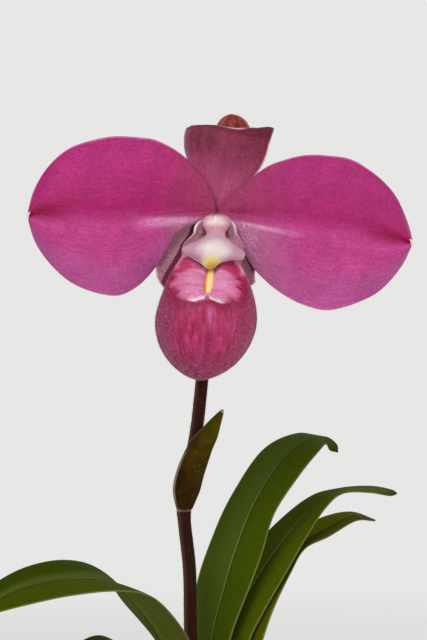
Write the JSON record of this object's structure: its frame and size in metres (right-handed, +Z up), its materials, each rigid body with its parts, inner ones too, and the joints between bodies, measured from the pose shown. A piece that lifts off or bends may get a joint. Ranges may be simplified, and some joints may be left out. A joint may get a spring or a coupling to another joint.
{
  "type": "phragmipedium orchid",
  "caption": "Slipper orchid in bloom: round magenta petals and a pouched lip on an arching stem over strap leaves, growing in a clay pot of bark.",
  "frame": {"origin": "centre of the pot's foot, on the surface the pot stands on", "axes": "+Z up along the pot's axis, the flower faces -Y, +X to the viewer's right"},
  "size_m": [0.1178, 0.1124, 0.2761],
  "materials": {
    "clay": "matt unglazed clay",
    "bark": "rough bark chips",
    "root": "dull, living tissue",
    "leaf": "satin green blade with a pale margin, living tissue",
    "stem": "dull dark red-brown, finely hairy, living tissue",
    "bract": "satin olive brown, living tissue",
    "bud": "finely hairy red-brown, living tissue",
    "sepal": "velvety dusky plum, living tissue",
    "petal": "velvety magenta, living tissue",
    "lip": "velvety deep magenta, living tissue",
    "crest": "satin yellow, living tissue",
    "column": "waxy pale pink, living tissue",
    "staminode": "waxy white with a yellow point, living tissue",
    "anther": "dull brown, living tissue"
  },
  "bodies": {
    "root": {"pot": "clay", "bark_mix": "bark", "rootstock_and_roots": "root", "leaf_right_tall": "leaf", "leaf_right_middle": "leaf", "leaf_right_low": "leaf", "leaf_left_high": "leaf", "leaf_left_low": "leaf", "leaf_left_sheath": "leaf", "stem": "stem", "stem_bract": "bract", "flower_bract": "bract", "bud_bract": "bract", "ovary": "stem", "bud_pedicel": "stem", "next_bud": "bud", "dorsal_sepal": "sepal", "synsepal": "sepal", "petal_left": "petal", "petal_right": "petal", "lip": "lip", "lip_crest": "crest", "column": "column", "staminode": "staminode", "anther_left": "anther", "anther_right": "anther"}
  },
  "joints": []
}
